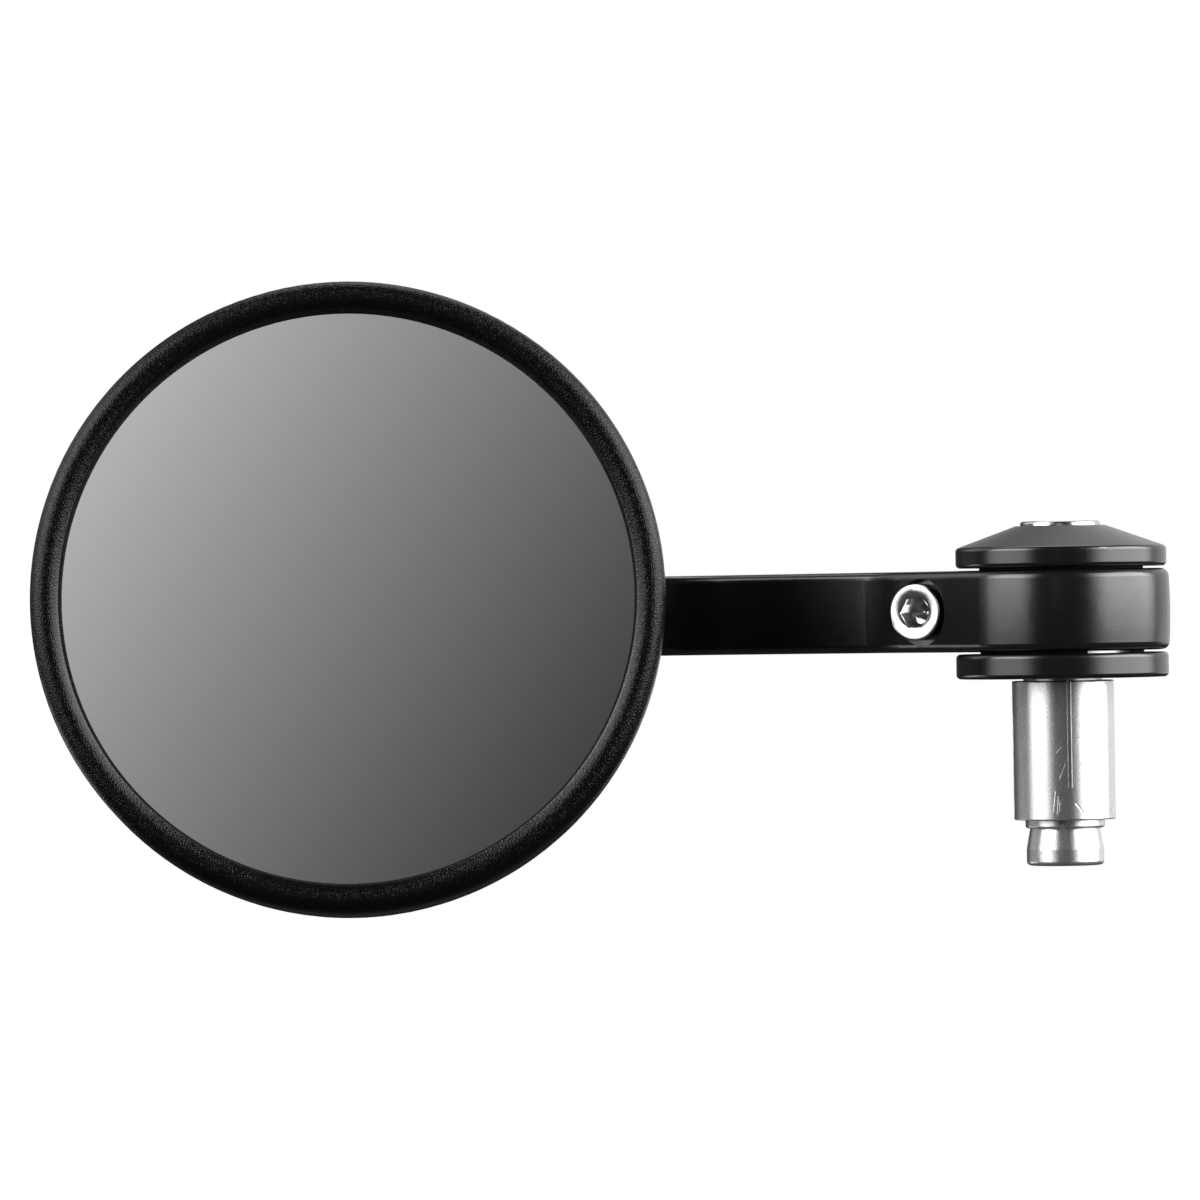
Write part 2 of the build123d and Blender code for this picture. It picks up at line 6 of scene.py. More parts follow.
import bmesh
import bpy
from mathutils import Matrix, Vector, noise as solid_noise

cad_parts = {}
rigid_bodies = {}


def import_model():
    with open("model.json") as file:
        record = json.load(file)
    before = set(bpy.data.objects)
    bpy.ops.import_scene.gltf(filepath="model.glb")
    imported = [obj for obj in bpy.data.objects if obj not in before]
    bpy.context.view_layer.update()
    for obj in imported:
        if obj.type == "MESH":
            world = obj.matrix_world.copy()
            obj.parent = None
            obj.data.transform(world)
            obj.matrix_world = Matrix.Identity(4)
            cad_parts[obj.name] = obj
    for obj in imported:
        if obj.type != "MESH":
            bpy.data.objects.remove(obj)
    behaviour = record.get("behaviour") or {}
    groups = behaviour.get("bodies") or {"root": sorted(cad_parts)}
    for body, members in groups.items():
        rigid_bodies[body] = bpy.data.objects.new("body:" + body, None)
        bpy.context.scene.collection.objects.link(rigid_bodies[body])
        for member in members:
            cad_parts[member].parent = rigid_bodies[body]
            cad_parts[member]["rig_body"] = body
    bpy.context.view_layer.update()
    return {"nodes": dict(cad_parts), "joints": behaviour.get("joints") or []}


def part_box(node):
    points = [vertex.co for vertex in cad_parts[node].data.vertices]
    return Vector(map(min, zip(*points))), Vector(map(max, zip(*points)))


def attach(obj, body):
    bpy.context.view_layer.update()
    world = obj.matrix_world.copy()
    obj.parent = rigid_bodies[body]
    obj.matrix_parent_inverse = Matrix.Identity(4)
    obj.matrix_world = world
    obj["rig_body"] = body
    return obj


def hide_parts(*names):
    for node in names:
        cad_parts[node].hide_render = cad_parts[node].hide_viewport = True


MM = 0.001

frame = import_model()
nodes = frame["nodes"]

# Places taken from the frame
JOINTS = {joint["name"]: joint for joint in frame["joints"]}
BALL = Vector(JOINTS["head_roll"]["pos_m"])
HEAD_BACKWARDS = Vector(JOINTS["head_roll"]["axis"]).normalized()
HUB = Vector((0, 0, 0))     # the frame's origin
DOWN = Vector((0, 0, -1))
UP = Vector((0, 0, 1))
SLEEVE_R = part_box("adapter_sleeve")[1].x
BUSH_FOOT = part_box("pivot_bush")[0].z

# Camera: long lens, level, with a slight lean
CAMERA_AT = Vector((-81.7, -1416.6, 15.55)) * MM
CAMERA_LENS = 240.0
CAMERA_SENSOR = 36.0
CAMERA_SIGHT = 20.0         # how far it sees
CAMERA_LEAN = 0.93          # degrees that the picture turns anticlockwise

# Floor and room
FLOOR_Z = -0.30
FLOOR_HALF = 4.0
FLOOR_NEAR = 0.6            # the part's shadow stays within this distance
FLOOR_FAR = 1.6             # from here on the floor is plain white
FLOOR_WHITE = 0.85
FLOOR_DARK = 0.05           # as the part sees most of it
FLOOR_LIFT = 0.6            # glow of the floor near the part, beside the light that falls on it
ROOM_GLOW = 0.055           # the dim room all round, and the least that a card shines
WALL_GLOW = 0.9             # the white wall behind, to the right
WALL_BEHIND = (0.42, 0.52)  # Y of the directions where it starts and is full
WALL_RIGHT = (-0.35, 0.3)   # and X

# Tall soft boxes: what their values mean is in soft_box
BOX_DISTANCE = 1.5
BOX_TOP = 2.0
BOX_BRIGHT = 0.7            # height at which a box has its full power
BOX_TOP_SHARE = 0.35        # share of its power at the top
BOX_KNEE = 0.15             # height below which it fades faster
SOFT_BOXES = {
    "left_soft_box": dict(side=-1, angles=(32, 48, 74, 104), foot=-0.25, power=6.5, knee=0.465),
    "right_soft_box": dict(side=1, angles=(25, 53, 98, 120), foot=-0.29, power=8.0, knee=0.69),
    "back_soft_box": dict(side=-1, angles=(84, 92, 130, 150), foot=0.0, power=1.2, knee=0.3),
}

# Cards that are even in the middle and fade at their edges
CARD_MARGIN = 0.4           # share of a card, on each side, over which it fades
REAR_DISTANCE = 1.6         # card high behind the part
REAR_HEIGHT = 64.0          # degrees above the level
REAR_SIZE = (1.9, 0.9)
REAR_POWER = 3.2
LOW_LIFT = 0.01             # card that lies just above the floor, left behind the part
LOW_AT = Vector((-0.95, 0.55, FLOOR_Z + LOW_LIFT))
LOW_SIZE = (1.0, 1.2)
LOW_POWER = 2.6

# Card that the glass shows to the camera
SEEN_DISTANCE = 2.2
GLASS_CURVE_R = 1.2         # radius of the convex glass
FALL_MIDDLE = 0.524         # grey in the middle of the glass
FALL_ACROSS = -0.185        # change of grey from there to the right edge
FALL_UP = 0.133             # and to the top edge
FALL_GAMMA = 2.3            # from grey to brightness


def reach(name, origin, axis):
    """Each vertex of a CAD node as (distance along an axis, distance from it)."""
    found = []
    for vertex in nodes[name].data.vertices:
        offset = vertex.co - origin
        along = offset.dot(axis)
        found.append((along, (offset - axis * along).length))
    return found


def basis(origin, axis):
    """Matrix whose Z runs along an axis from an origin."""
    turn = axis.to_track_quat("Z", "Y").to_matrix().to_4x4()
    return Matrix.Translation(origin) @ turn


def in_scene(name, data):
    """New object, linked to the scene."""
    thing = bpy.data.objects.new(name, data)
    bpy.context.scene.collection.objects.link(thing)
    return thing


# Shader nodes

FLECK_RANGE = (0.3, 0.7)    # of the noise that flecks are made from
MIX_LOW, MIX_HIGH, MIX_RESULT = 6, 7, 2     # a Mix node's sockets for colours


def add(tree, kind, inputs=None, **settings):
    """New node with its settings, and its inputs as values or as other nodes' sockets."""
    node = tree.nodes.new(kind)
    for key, value in settings.items():
        setattr(node, key, value)
    for name, value in (inputs or {}).items():
        if isinstance(value, bpy.types.NodeSocket):
            tree.links.new(value, node.inputs[name])
        else:
            node.inputs[name].default_value = value
    return node


def maths(tree, operation, first, *others):
    """Result of Math nodes that take the other values in turn."""
    for other in others:
        first = add(tree, "ShaderNodeMath", {0: first, 1: other}, operation=operation).outputs[0]
    return first


def vectors(tree, operation, *values, result=0):
    """Vector Math node's result."""
    return add(tree, "ShaderNodeVectorMath", dict(enumerate(values)), operation=operation).outputs[result]


def scaled(tree, vector, factor):
    """Vector times a number."""
    return add(tree, "ShaderNodeVectorMath", {0: vector, "Scale": factor}, operation="SCALE").outputs[0]


def axes(tree, coords):
    """X, Y and Z of a vector."""
    return add(tree, "ShaderNodeSeparateXYZ", {"Vector": coords}).outputs


def noise(tree, coords, scale, detail=2.0, result="Fac"):
    """Noise between 0 and 1, or a colour of it. scale is in cells per metre."""
    inputs = {"Vector": coords, "Scale": scale, "Detail": detail}
    return add(tree, "ShaderNodeTexNoise", inputs).outputs[result]


def cells(tree, coords, scale, feature="F1"):
    """Distance from the middle of a cell, or as feature says. scale is in cells per metre."""
    inputs = {"Vector": coords, "Scale": scale}
    return add(tree, "ShaderNodeTexVoronoi", inputs, feature=feature).outputs["Distance"]


def spread(tree, value, low, high, from_low=0.0, from_high=1.0, smooth=False):
    """Value mapped to a range, held at its ends."""
    inputs = {"Value": value, "From Min": from_low, "From Max": from_high, "To Min": low, "To Max": high}
    kind = "SMOOTHSTEP" if smooth else "LINEAR"
    return add(tree, "ShaderNodeMapRange", inputs, interpolation_type=kind).outputs["Result"]


def band(tree, value, start, full, fade, end):
    """0 up to start, 1 from full to fade, and 0 again from end on."""
    rise = spread(tree, value, 0, 1, start, full, smooth=True)
    fall = spread(tree, value, 1, 0, fade, end, smooth=True)
    return maths(tree, "MULTIPLY", rise, fall)


def flecks(tree, coords, scale, detail):
    """Noise with its contrast raised."""
    return spread(tree, noise(tree, coords, scale, detail), 0, 1, *FLECK_RANGE)


def colours(tree, value, low, high):
    """Blend between two colours."""
    blend = add(tree, "ShaderNodeMix", {"Factor": value}, data_type="RGBA")
    for socket, colour in ((blend.inputs[MIX_LOW], low), (blend.inputs[MIX_HIGH], high)):
        if isinstance(colour, bpy.types.NodeSocket):
            tree.links.new(colour, socket)
        else:
            socket.default_value = (*colour, 1)
    return blend.outputs[MIX_RESULT]


def greys(tree, value, low, high):
    """Blend between two greys."""
    return colours(tree, value, (low,) * 3, (high,) * 3)


def grey(level):
    """Even grey, for a shader's colour."""
    return (level, level, level, 1)


def surface(name, **constants):
    """New material with its main shader, whose constant sockets are set here, and object coordinates."""
    material = bpy.data.materials.new(name)
    material.use_nodes = True
    tree = material.node_tree
    shader = tree.nodes["Principled BSDF"]
    for key, value in constants.items():
        shader.inputs[key.replace("_", " ")].default_value = value
    coords = add(tree, "ShaderNodeTexCoord").outputs["Object"]
    return material, tree, shader, coords


def feed(tree, shader, **sockets):
    """Link textures to a shader's sockets."""
    for key, value in sockets.items():
        tree.links.new(value, shader.inputs[key.replace("_", " ")])


def relief(tree, shader, height):
    """Relief on a shader from a height in metres."""
    inputs = {"Height": height, "Strength": 1.0, "Distance": 1.0}
    feed(tree, shader, Normal=add(tree, "ShaderNodeBump", inputs).outputs["Normal"])


def emptied(owner):
    """Empty shader tree of a material or world."""
    owner.use_nodes = True
    owner.node_tree.nodes.clear()
    return owner.node_tree


def ray_kinds(tree):
    """Masks of rays that come straight from the camera, also through glass, and of reflected ones."""
    rays = add(tree, "ShaderNodeLightPath").outputs
    direct = maths(tree, "MAXIMUM", rays["Is Camera Ray"], rays["Is Transmission Ray"])
    return direct, rays["Is Glossy Ray"]


# Materials. Greys, colours and roughness run from low to high, and textures are in cells per metre

COAT_IOR = 1.7
COAT_GREYS = (0.0025, 0.0040)
COAT_ROUGH = (0.19, 0.25)
COAT_CLOUDS = 90
COAT_PATCHES = 500
COAT_SPECKS = 3600
SPECK_ROUGH = 0.04          # less on the specks, more between them
SPECK_DEPTH = 0.006 * MM
BARE_GREY = 0.5             # metal that shows through the coat
BARE_ROUGH = 0.25


def black_coat(name, bare=None, roughness=COAT_ROUGH):
    """Satin black finish on alloy. bare is a function that makes a mask of where the metal shows."""
    material, tree, shader, coords = surface(name, IOR=COAT_IOR)
    colour = greys(tree, noise(tree, coords, COAT_CLOUDS), *COAT_GREYS)
    specks = flecks(tree, coords, COAT_SPECKS, detail=2)
    rough = maths(tree, "ADD", spread(tree, noise(tree, coords, COAT_PATCHES, detail=3), *roughness),
                  spread(tree, specks, SPECK_ROUGH, -SPECK_ROUGH))
    if bare:
        mask = bare(tree, coords)
        colour = colours(tree, mask, colour, (BARE_GREY,) * 3)
        rough = spread(tree, mask, rough, BARE_ROUGH)
        feed(tree, shader, Metallic=mask)
    feed(tree, shader, Base_Color=colour, Roughness=rough)
    relief(tree, shader, maths(tree, "MULTIPLY", specks, SPECK_DEPTH))
    return material


CHIP_PLACE = Vector((6.4, -17.3, 23.3)) * MM
CHIP_HALF = Vector((1.0, 0.6, 0.16)) * MM
CHIP_TEXTURE = 4000
CHIP_RAGGED = 0.9           # unevenness of its edge, as a share of its half size
CHIP_CORE = 0.8             # share of it inside the soft edge
CHIP_SHOWS = 0.3            # how far the metal shows


def chipped(tree, coords):
    """Mask of a small chip in the cap's coat."""
    offset = vectors(tree, "DIVIDE", vectors(tree, "SUBTRACT", coords, CHIP_PLACE), CHIP_HALF)
    distance = vectors(tree, "LENGTH", offset, result="Value")
    uneven = spread(tree, noise(tree, coords, CHIP_TEXTURE), -CHIP_RAGGED, CHIP_RAGGED)
    spot = spread(tree, maths(tree, "ADD", distance, uneven), 1, 0, CHIP_CORE, 1)
    return maths(tree, "MULTIPLY", spot, CHIP_SHOWS)


BUSH_COAT_ROUGH = (0.8, 0.95)
# Painted highlight: where bare metal is put at the foot of the bush
HIGHLIGHT_FROM = 3.6 * MM        # right of the axis
HIGHLIGHT_TO = 11.5 * MM
HIGHLIGHT_START = 0.1 * MM       # over which it starts
HIGHLIGHT_END = 3 * MM           # over which it ends
HIGHLIGHT_HEIGHT = 2.5 * MM


def painted_bush_highlight(tree, coords):
    """Mask of a painted highlight round the foot of the bush: bare metal on a stretch right of the axis, to
    give a bright strip there.
    """
    place = axes(tree, coords)
    start = spread(tree, place["X"], 0, 1, HIGHLIGHT_FROM, HIGHLIGHT_FROM + HIGHLIGHT_START)
    end = spread(tree, place["X"], 1, 0, HIGHLIGHT_TO - HIGHLIGHT_END, HIGHLIGHT_TO)
    low = spread(tree, place["Z"], 1, 0, BUSH_FOOT + HIGHLIGHT_HEIGHT, BUSH_FOOT + 2 * HIGHLIGHT_HEIGHT)
    return maths(tree, "MULTIPLY", start, end, low)


ALUMINIUM_GREYS = (0.52, 0.96)
ALUMINIUM_ROUGH = (0.29, 0.35)
ALUMINIUM_MOTTLE = (-0.06, 0.08)    # of the roughness
ALUMINIUM_CLOUDS = 4200
ALUMINIUM_FLECKS = 5200
TOOL_RINGS = (60, 60, 9000)         # fine along the axis
TOOL_DEPTH = 0.0006 * MM
TUBE_GRAIN = 0.012 * MM
WEDGE_GRAIN = 0.024 * MM
SLEEVE_GRAIN = 0.020 * MM
MARK_DEPTH = 0.12                   # as a share of a mark's width
MARK_ROUGH = 0.25


def segment_mask(tree, coords, start, end, width):
    """1 on a fine straight mark between two points, 0 away from it."""
    along = (end - start).normalized()
    length = (end - start).length
    core = width / 3
    offset = vectors(tree, "SUBTRACT", coords, start)
    nearest = spread(tree, vectors(tree, "DOT_PRODUCT", offset, along, result="Value"), 0, length, 0, length)
    apart = vectors(tree, "DISTANCE", offset, scaled(tree, along, nearest), result="Value")
    return spread(tree, apart, 1, 0, core, width)


def turned_aluminium(name, grain, marks=()):
    """Bare turned aluminium: fine rings from the tool, mottling as deep as grain, and marks."""
    material, tree, shader, coords = surface(name, Metallic=1.0, Anisotropic=0.5, Anisotropic_Rotation=0.25)
    stretched = add(tree, "ShaderNodeMapping", {"Vector": coords, "Scale": TOOL_RINGS}).outputs[0]
    rings = noise(tree, stretched, 1.0, detail=3)
    cloud = noise(tree, coords, ALUMINIUM_CLOUDS, detail=4)
    rough = maths(tree, "ADD", spread(tree, rings, *ALUMINIUM_ROUGH), spread(tree, cloud, *ALUMINIUM_MOTTLE))
    height = maths(tree, "ADD", maths(tree, "MULTIPLY", rings, TOOL_DEPTH),
                   maths(tree, "MULTIPLY", cloud, grain))
    for start, end, width in marks:
        mark = segment_mask(tree, coords, start, end, width)
        height = maths(tree, "SUBTRACT", height, maths(tree, "MULTIPLY", mark, width * MARK_DEPTH))
        rough = maths(tree, "ADD", rough, maths(tree, "MULTIPLY", mark, MARK_ROUGH))
    round_about = add(tree, "ShaderNodeTangent", direction_type="RADIAL", axis="Z").outputs[0]
    colour = greys(tree, flecks(tree, coords, ALUMINIUM_FLECKS, detail=3), *ALUMINIUM_GREYS)
    feed(tree, shader, Base_Color=colour, Roughness=rough, Tangent=round_about)
    relief(tree, shader, height)
    return material


def on_sleeve(x, z):
    """Point on the front of the sleeve, from millimetres."""
    return Vector((x * MM, -sqrt(SLEEVE_R ** 2 - (x * MM) ** 2), z * MM))


SLEEVE_MARKS = [
    (on_sleeve(-1.9, -12.6), on_sleeve(-0.9, -11.5), 0.10 * MM),
    (on_sleeve(-1.5, -17.4), on_sleeve(-0.3, -14.6), 0.12 * MM),
    (on_sleeve(-2.6, -22.8), on_sleeve(-2.2, -19.4), 0.16 * MM),
    (on_sleeve(-1.9, -23.4), on_sleeve(-1.7, -20.2), 0.14 * MM),
    (on_sleeve(-1.5, -23.0), on_sleeve(-1.4, -21.2), 0.12 * MM),
    (on_sleeve(1.6, -21.7), on_sleeve(2.7, -23.2), 0.24 * MM),
]

STEEL_GREYS = (0.60, 0.72)
STEEL_ROUGH = (0.10, 0.24)
STEEL_CLOUDS = 1800
STEEL_GRAIN = 5000
STEEL_DEPTH = 0.0012 * MM


def bright_steel(name):
    """Stainless steel with a fine tumbled finish."""
    material, tree, shader, coords = surface(name, Metallic=1.0)
    cloud = noise(tree, coords, STEEL_CLOUDS, detail=4)
    feed(tree, shader, Base_Color=greys(tree, cloud, *STEEL_GREYS),
         Roughness=spread(tree, cloud, *STEEL_ROUGH))
    relief(tree, shader, maths(tree, "MULTIPLY", noise(tree, coords, STEEL_GRAIN, detail=3), STEEL_DEPTH))
    return material


PLASTIC_IOR = 1.31
PLASTIC_GREYS = (0.0008, 0.0040)
PEBBLES = 2100
PEBBLE_EDGE = 0.35          # share of a cell over which a pebble rises
PEBBLE_ROUGH = (0.28, 0.16)     # between the pebbles and on top
PEBBLE_DEPTH = 0.036 * MM
PEBBLE_WANDER = 1800        # noise that makes the pebbles uneven
PEBBLE_DRIFT = 0.25 * MM
FINE_GRAIN = 7000
FINE_SHARE = 0.15           # of the relief
FINE_ROUGH = 0.03
PAINTED_SHADE_EDGE = 0.5 * MM        # width of the painted shade line where the rim meets the glass
OPENING_R = min(r for _, r in reach("rim_bezel", BALL, HEAD_BACKWARDS))


def grained_plastic(name):
    """Black moulded plastic with a pebbled grain, and a line of painted shade, black and fully rough, where
    it meets the glass.
    """
    material, tree, shader, coords = surface(name, IOR=PLASTIC_IOR)
    drift = scaled(tree, noise(tree, coords, PEBBLE_WANDER, result="Color"), PEBBLE_DRIFT)
    from_edge = cells(tree, vectors(tree, "ADD", coords, drift), PEBBLES, feature="DISTANCE_TO_EDGE")
    pebbles = spread(tree, from_edge, 0, 1, 0, PEBBLE_EDGE, smooth=True)
    fine = noise(tree, coords, FINE_GRAIN, detail=3)
    height = maths(tree, "ADD", pebbles, maths(tree, "MULTIPLY", fine, FINE_SHARE))
    crossed = vectors(tree, "CROSS_PRODUCT", vectors(tree, "SUBTRACT", coords, BALL), HEAD_BACKWARDS)
    radius = vectors(tree, "LENGTH", crossed, result="Value")
    # painted shade: the rim's inner edge goes black and fully rough, standing in for the shadow line between
    # lip and glass
    painted_shade = spread(tree, radius, 1, 0, OPENING_R + PAINTED_SHADE_EDGE / 2, OPENING_R + PAINTED_SHADE_EDGE)
    colour = colours(tree, painted_shade, greys(tree, pebbles, *PLASTIC_GREYS), (0, 0, 0))
    rough = maths(tree, "ADD", spread(tree, pebbles, *PEBBLE_ROUGH),
                  spread(tree, fine, -FINE_ROUGH, FINE_ROUGH))
    feed(tree, shader, Base_Color=colour, Roughness=maths(tree, "MAXIMUM", rough, painted_shade))
    relief(tree, shader, maths(tree, "MULTIPLY", height, PEBBLE_DEPTH))
    return material


SILVER_GREYS = (0.87, 0.89)
SILVER_ROUGH = (0.015, 0.035)
SILVER_CLOUDS = 14
SILVER_GRAIN = 3000


def mirror_surface(name):
    """Silvered glass, very slightly uneven."""
    material, tree, shader, coords = surface(name, Metallic=1.0)
    feed(tree, shader, Base_Color=greys(tree, noise(tree, coords, SILVER_CLOUDS), *SILVER_GREYS),
         Roughness=spread(tree, noise(tree, coords, SILVER_GRAIN), *SILVER_ROUGH))
    return material


EDGE_COLOURS = ((0.10, 0.13, 0.12), (0.20, 0.24, 0.23))
EDGE_ROUGH = (0.4, 0.6)
EDGE_CLOUDS = 900


def ground_edge(name):
    """Ground edge and painted back of the glass."""
    material, tree, shader, coords = surface(name)
    cloud = noise(tree, coords, EDGE_CLOUDS, detail=4)
    feed(tree, shader, Base_Color=colours(tree, cloud, *EDGE_COLOURS),
         Roughness=spread(tree, cloud, *EDGE_ROUGH))
    return material


FOAM_GREYS = (0.02, 0.07)
FOAM_ROUGH = (0.85, 1.0)
FOAM_CELLS = 2200
FOAM_DEPTH = 0.15 * MM


def dark_foam(name):
    """Dark open foam."""
    material, tree, shader, coords = surface(name)
    pores = cells(tree, coords, FOAM_CELLS)
    feed(tree, shader, Base_Color=greys(tree, pores, *FOAM_GREYS),
         Roughness=spread(tree, pores, *FOAM_ROUGH))
    relief(tree, shader, maths(tree, "MULTIPLY", pores, FOAM_DEPTH))
    return material


ACETAL_IOR = 1.48
ACETAL_COLOURS = ((0.74, 0.73, 0.68), (0.82, 0.81, 0.77))
ACETAL_ROUGH = (0.3, 0.42)
ACETAL_CLOUDS = 500


def acetal(name):
    """Off-white slippery plastic."""
    material, tree, shader, coords = surface(name, IOR=ACETAL_IOR)
    cloud = noise(tree, coords, ACETAL_CLOUDS, detail=3)
    feed(tree, shader, Base_Color=colours(tree, cloud, *ACETAL_COLOURS),
         Roughness=spread(tree, cloud, *ACETAL_ROUGH))
    return material


def dress(material, *names):
    """Give CAD nodes a material."""
    for name in names:
        nodes[name].data.materials.clear()
        nodes[name].data.materials.append(material)


STEEL = bright_steel("bright_steel")
FOAM = dark_foam("foam")
dress(black_coat("black_coat"), "lower_flange", "clamp_arm")
dress(black_coat("chipped_coat", chipped), "end_cap")
# the bush: a dull coat, with a painted highlight of bare metal at its foot
dress(black_coat("bush_coat_painted_highlight", painted_bush_highlight, BUSH_COAT_ROUGH), "pivot_bush")
dress(turned_aluminium("turned_aluminium", TUBE_GRAIN), "expander_tube")
dress(turned_aluminium("pitted_aluminium", WEDGE_GRAIN), "wedge_nut")
dress(turned_aluminium("marked_aluminium", SLEEVE_GRAIN, SLEEVE_MARKS), "adapter_sleeve")
dress(STEEL, "through_bolt", "pinch_bolt", "ball_stud", "stud_washer", "stud_nut", "disc_spring",
      "socket_plate", "plate_screws")
dress(grained_plastic("grained_plastic"), "rim_bezel", "mirror_housing")
dress(acetal("acetal"), "rear_ball_seat", "front_ball_cup")


# Pieces that stand for CAD nodes


def new_piece(name, mesh, node):
    """Put a mesh in the scene as a piece that stands for a CAD node and rides on its body."""
    piece = in_scene(name, mesh)
    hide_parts(node)
    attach(piece, nodes[node]["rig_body"])
    return piece


def around(place, radius, share, height):
    """Point about the Z of a place, at a share of a turn."""
    angle = 2 * pi * share
    return place @ Vector((radius * cos(angle), radius * sin(angle), height))


def skin(mesh, rows, segments):
    """Faces between rows of vertices that go round an axis. A row of one vertex is a tip."""
    for low, high in zip(rows, rows[1:]):
        for i in range(segments):
            j = (i + 1) % segments
            corners = [low[i % len(low)], low[j % len(low)], high[j % len(high)], high[i % len(high)]]
            mesh.faces.new(list(dict.fromkeys(corners)))


def turned_mesh(place, outline, segments, closed=False):
    """Mesh turned about the Z of a place from (radius, height) points. closed joins the last to the first."""
    mesh = bmesh.new()
    rows = []
    for radius, height in outline:
        count = segments if radius > 0 else 1
        rows.append([mesh.verts.new(around(place, radius, i / segments, height)) for i in range(count)])
    skin(mesh, rows + rows[:1] if closed else rows, segments)
    bmesh.ops.recalc_face_normals(mesh, faces=mesh.faces)
    return mesh


def finished(mesh, name, sharp):
    """Mesh data with smooth faces, whose edges stay sharp from an angle in degrees on."""
    data = bpy.data.meshes.new(name)
    mesh.to_mesh(data)
    mesh.free()
    data.shade_smooth()
    data.set_sharp_from_angle(angle=radians(sharp))
    return data


PANE_RINGS = 48
PANE_SEGMENTS = 256
PANE_BEVEL = 0.25 * MM
PANE_SHARP = 20
PANE_FRONT = -0.99          # a mirrored face's normal has less than this along HEAD_BACKWARDS


def mirror_pane():
    """Convex pane with ground edges: front mirrored, edge and back dull."""
    spots = reach("mirror_glass", BALL, HEAD_BACKWARDS)
    radius = max(r for _, r in spots)
    apex = min(along for along, _ in spots)
    rim = min(along for along, r in spots if r > radius - PANE_BEVEL)
    thickness = max(along for along, r in spots if r < PANE_BEVEL) - apex
    sag = rim - apex
    curve = (radius ** 2 + sag ** 2) / (2 * sag)
    radii = [i / PANE_RINGS * (radius - PANE_BEVEL) for i in range(PANE_RINGS + 1)]
    front = [(r, apex + curve - sqrt(curve ** 2 - r ** 2)) for r in radii]
    back = [(r, along + thickness) for r, along in reversed(front)]
    edge = [(radius, front[-1][1] + PANE_BEVEL), (radius, back[0][1] - PANE_BEVEL)]
    mesh = turned_mesh(basis(BALL, HEAD_BACKWARDS), front + edge + back, PANE_SEGMENTS)
    data = finished(mesh, "mirror_pane", PANE_SHARP)
    data.materials.append(mirror_surface("mirror_surface"))
    data.materials.append(ground_edge("ground_edge"))
    for face in data.polygons:
        along = (face.center - BALL).dot(HEAD_BACKWARDS)
        mirrored = face.normal.dot(HEAD_BACKWARDS) < PANE_FRONT and along < rim + PANE_BEVEL
        face.material_index = 0 if mirrored else 1
    new_piece("mirror_pane", data, "mirror_glass")


FOAM_SEGMENTS = 180
FOAM_STEPS = 8
FOAM_BULGE = 0.5 * MM
FOAM_LUMP = 0.12 * MM
FOAM_LUMP_SIZE = 3 * MM
FOAM_SHARP = 60


def foam_ring():
    """Soft ring pressed between the glass and the ledge: flat where it is pressed, crowned at its sides."""
    spots = reach("foam_pad", BALL, HEAD_BACKWARDS)
    inner = min(r for _, r in spots)
    outer = max(r for _, r in spots)
    back = max(along for along, _ in spots)
    front_inner = min(along for along, r in spots if r < inner + FOAM_BULGE)
    front_outer = min(along for along, r in spots if r > outer - FOAM_BULGE)
    side, hole = [], []
    for i in range(FOAM_STEPS + 1):
        turn = pi * i / FOAM_STEPS
        inset = FOAM_BULGE * (1 - sin(turn))
        share = (1 - cos(turn)) / 2
        side.append((outer - inset, front_outer + (back - front_outer) * share))
        hole.append((inner + inset, back + (front_inner - back) * share))
    mesh = turned_mesh(basis(BALL, HEAD_BACKWARDS), side + hole, FOAM_SEGMENTS, closed=True)
    for vertex in mesh.verts:
        offset = vertex.co - BALL
        away = offset - HEAD_BACKWARDS * offset.dot(HEAD_BACKWARDS)
        inwards = away.normalized() * (1 if away.length < (inner + outer) / 2 else -1)
        vertex.co += inwards * FOAM_LUMP * abs(solid_noise.noise(vertex.co / FOAM_LUMP_SIZE))
    data = finished(mesh, "foam_ring", FOAM_SHARP)
    data.materials.append(FOAM)
    piece = new_piece("foam_ring", data, "foam_pad")


M8_R, M8_PITCH = 4.0 * MM, 1.25 * MM
M6_R, M6_PITCH = 3.0 * MM, 1.0 * MM
THREAD_DEPTH = 0.61         # shares of the pitch
THREAD_HALF_CREST = 1 / 16
THREAD_FLANK = 5 / 16
THREAD_SEGMENTS = 40
THREAD_STEPS = 10           # in each turn
THREAD_SHARP = 28
SLACK = 0.02 * MM           # within which a point counts as on a face
WELD = 0.002 * MM
HEAD_STEP = 0.1 * MM        # a bolt's head is at least this much wider than its shank
ARM_SWEEP = radians(31)     # the pinch bolt is square to the arm
PINCH_AXIS = Vector((sin(ARM_SWEEP), cos(ARM_SWEEP), 0))
PINCH_PLAIN = 5 * MM        # plain part of a shank
STUD_PLAIN = 6 * MM
BOLT_THREAD = 16 * MM       # thread at the foot of the long bolt


def held(value):
    """Value held between 0 and 1."""
    return min(max(value, 0), 1)


def thread_radius(radius, pitch, along, turn, start, end):
    """Radius of a thread at a place along it, with its run-out at the start and its lead-in at the end."""
    depth = THREAD_DEPTH * pitch
    phase = (along / pitch - turn) % 1
    from_crest = abs((phase + 0.5) % 1 - 0.5)
    cut = held((from_crest - THREAD_HALF_CREST) / THREAD_FLANK)
    run_out = held((along - start) / pitch)
    lead_in = radius - depth + max(end - along, 0)
    return min(radius - depth * cut * run_out, lead_in)


